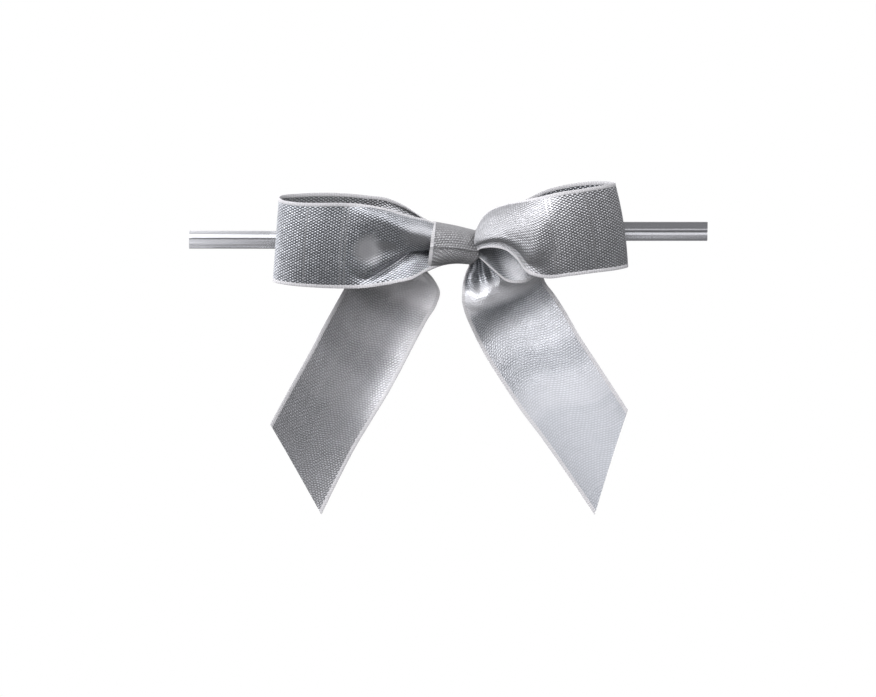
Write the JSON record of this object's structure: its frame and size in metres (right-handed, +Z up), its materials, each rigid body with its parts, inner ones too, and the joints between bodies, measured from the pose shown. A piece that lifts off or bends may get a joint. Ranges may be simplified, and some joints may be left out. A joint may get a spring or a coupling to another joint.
{
  "type": "pre-made gift bow",
  "caption": "Small tied bow of metallic woven ribbon with light selvedges and slant-cut tails, on a flat metallised twist tie that wraps round a bag's neck.",
  "frame": {"origin": "middle of the knot's flat back face, where a gift bag's gathered neck lies", "axes": "+X along the twist tie towards the bow's right side as seen from its front, +Y out of the back of the knot, +Z up; the bow's face looks along -Y"},
  "size_m": [0.1321, 0.0172, 0.088],
  "materials": {
    "metallic_weave": "metallised lame taffeta, fine cross ribs",
    "selvedge": "matt woven edge",
    "metallised_film": "bright metallised film, slightly rippled",
    "tie_wire": "soft annealed wire"
  },
  "bodies": {
    "knot": {"knot_wrap": "metallic_weave", "knot_wrap_selvedges": "selvedge", "knot_inner_folds": "metallic_weave", "tie_centre_front_film": "metallised_film", "tie_centre_back_film": "metallised_film", "tie_centre_wire": "tie_wire"},
    "left_loop": {"left_loop_ribbon": "metallic_weave", "left_loop_selvedges": "selvedge"},
    "right_loop": {"right_loop_ribbon": "metallic_weave", "right_loop_selvedges": "selvedge"},
    "left_tail_upper": {"left_tail_upper_ribbon": "metallic_weave", "left_tail_upper_selvedges": "selvedge"},
    "left_tail_lower": {"left_tail_lower_ribbon": "metallic_weave", "left_tail_lower_selvedges": "selvedge"},
    "right_tail_upper": {"right_tail_upper_ribbon": "metallic_weave", "right_tail_upper_selvedges": "selvedge"},
    "right_tail_lower": {"right_tail_lower_ribbon": "metallic_weave", "right_tail_lower_selvedges": "selvedge"},
    "left_leg_inner": {"left_inner_leg_front_film": "metallised_film", "left_inner_leg_back_film": "metallised_film", "left_inner_leg_wire": "tie_wire"},
    "left_leg_outer": {"left_outer_leg_front_film": "metallised_film", "left_outer_leg_back_film": "metallised_film", "left_outer_leg_wire": "tie_wire"},
    "right_leg_inner": {"right_inner_leg_front_film": "metallised_film", "right_inner_leg_back_film": "metallised_film", "right_inner_leg_wire": "tie_wire"},
    "right_leg_outer": {"right_outer_leg_front_film": "metallised_film", "right_outer_leg_back_film": "metallised_film", "right_outer_leg_wire": "tie_wire"}
  },
  "joints": [
    {"name": "left_loop_swing", "type": "hinge", "parent": "knot", "child": "left_loop", "pos_m": [0, -0.007, 0], "axis": [0, 1, 0], "range_deg": [-12, 12]},
    {"name": "right_loop_swing", "type": "hinge", "parent": "knot", "child": "right_loop", "pos_m": [0, -0.007, 0], "axis": [0, -1, 0], "range_deg": [-12, 12]},
    {"name": "left_tail_swing", "type": "hinge", "parent": "knot", "child": "left_tail_upper", "pos_m": [0, -0.0019, 0], "axis": [0, 1, 0], "range_deg": [-12, 12]},
    {"name": "left_tail_curl", "type": "hinge", "parent": "left_tail_upper", "child": "left_tail_lower", "pos_m": [-0.02244, -0.0019, -0.02641], "axis": [0.8729, 0, -0.4879], "range_deg": [-35, 35], "stiffness_Nm_per_rad": 0.0005},
    {"name": "right_tail_swing", "type": "hinge", "parent": "knot", "child": "right_tail_upper", "pos_m": [0, -0.0026, 0], "axis": [0, -1, 0], "range_deg": [-12, 12]},
    {"name": "right_tail_curl", "type": "hinge", "parent": "right_tail_upper", "child": "right_tail_lower", "pos_m": [0.02006, -0.0026, -0.02749], "axis": [0.8329, 0, 0.5534], "range_deg": [-35, 35], "stiffness_Nm_per_rad": 0.0005},
    {"name": "left_leg_bend", "type": "hinge", "parent": "knot", "child": "left_leg_inner", "pos_m": [-0.009, -0.00064, -0.001], "axis": [0, -0.1219, -0.9925], "range_deg": [0, 90]},
    {"name": "left_leg_wrap", "type": "hinge", "parent": "left_leg_inner", "child": "left_leg_outer", "pos_m": [-0.023, -0.00064, -0.001], "axis": [0, -0.1219, -0.9925], "range_deg": [0, 90]},
    {"name": "right_leg_bend", "type": "hinge", "parent": "knot", "child": "right_leg_inner", "pos_m": [0.009, -0.00064, 0.0011], "axis": [0, -0.1219, 0.9925], "range_deg": [0, 90]},
    {"name": "right_leg_wrap", "type": "hinge", "parent": "right_leg_inner", "child": "right_leg_outer", "pos_m": [0.028, -0.00064, 0.0011], "axis": [0, -0.1219, 0.9925], "range_deg": [0, 90]}
  ]
}
